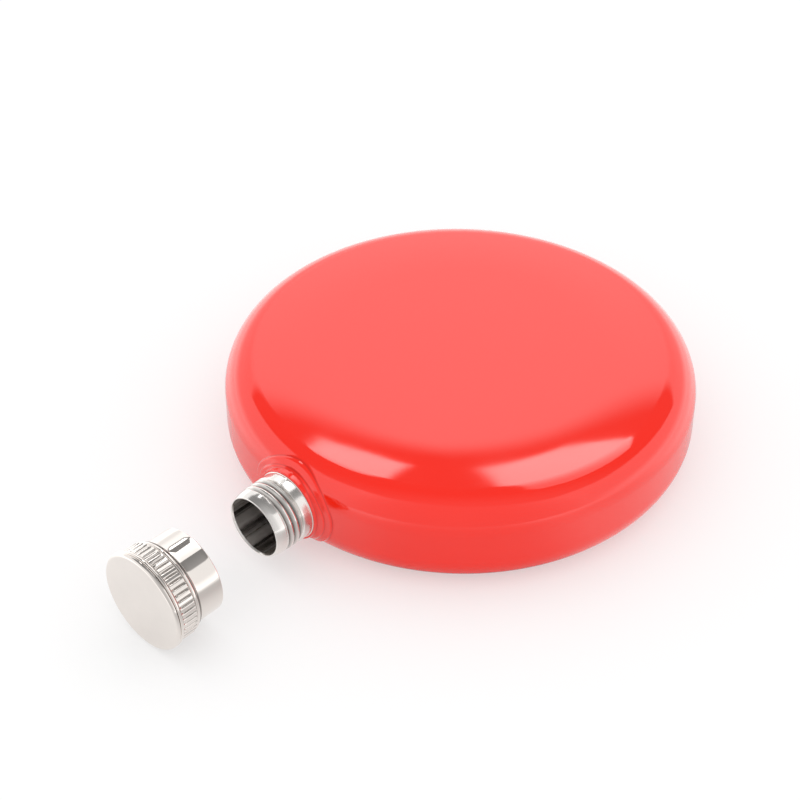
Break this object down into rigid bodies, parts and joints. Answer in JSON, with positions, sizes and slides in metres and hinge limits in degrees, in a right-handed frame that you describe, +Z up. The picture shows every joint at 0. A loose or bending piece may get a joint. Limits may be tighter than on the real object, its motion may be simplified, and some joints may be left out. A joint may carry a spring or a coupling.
{
  "type": "round hip flask",
  "caption": "Flat round pocket bottle for spirits with a threaded spout in its side and a fluted screw cap that turns and pulls off along the spout.",
  "frame": {"origin": "centre of the flat back that the flask lies on", "axes": "+Z up through the flat faces, -Y along the neck"},
  "size_m": [0.098, 0.1365, 0.0216],
  "materials": {
    "red_lacquer": "gloss lacquer over drawn steel",
    "spout_steel": "turned bright steel",
    "nickel_plate": "bright nickel plate",
    "liner_plastic": "moulded plastic",
    "seal_rubber": "soft seal"
  },
  "bodies": {
    "flask": {"front_shell": "red_lacquer", "back_shell": "red_lacquer", "neck_boss": "red_lacquer", "neck": "spout_steel"},
    "cap_seal": {"cap_seal": "seal_rubber"},
    "cap": {"cap_shell": "nickel_plate", "cap_liner": "liner_plastic"}
  },
  "joints": [
    {"name": "cap_pull", "type": "slide", "parent": "flask", "child": "cap_seal", "axis": [0, 1, 0], "range_m": [0, 0.0245]},
    {"name": "cap_turn", "type": "hinge", "parent": "cap_seal", "child": "cap", "pos_m": [0, -0.0753, 0.0108], "axis": [0, -1, 0], "continuous": true}
  ]
}
